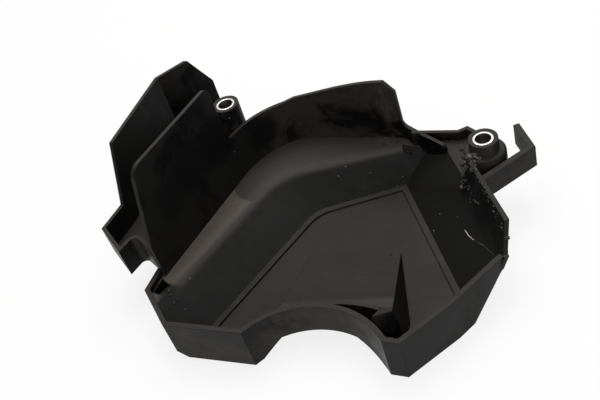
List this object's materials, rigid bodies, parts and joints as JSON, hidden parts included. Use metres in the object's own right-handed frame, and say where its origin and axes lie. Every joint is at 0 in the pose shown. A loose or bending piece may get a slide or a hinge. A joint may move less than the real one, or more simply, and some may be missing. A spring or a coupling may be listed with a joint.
{
  "type": "motorcycle front sprocket cover",
  "caption": "Moulded plastic cover for a front sprocket, with a cable channel, an arch for the shaft and steel-sleeved bolt bosses.",
  "frame": {"origin": "centre of the tall boss's sleeve bore at its engine-side end face", "axes": "+Z along both bolts towards the engine, +X from the tall boss to the bracket boss, -Y towards the arch for the shaft"},
  "size_m": [0.1709, 0.1274, 0.07],
  "materials": {
    "moulded_plastic": "fine spark-eroded grain, dusty and greasy inside",
    "sleeve_steel": "zinc-plated tube, end faces scuffed by the bolt"
  },
  "bodies": {
    "root": {"cover": "moulded_plastic", "tall_boss_sleeve": "sleeve_steel", "bracket_boss_sleeve": "sleeve_steel"}
  },
  "joints": []
}
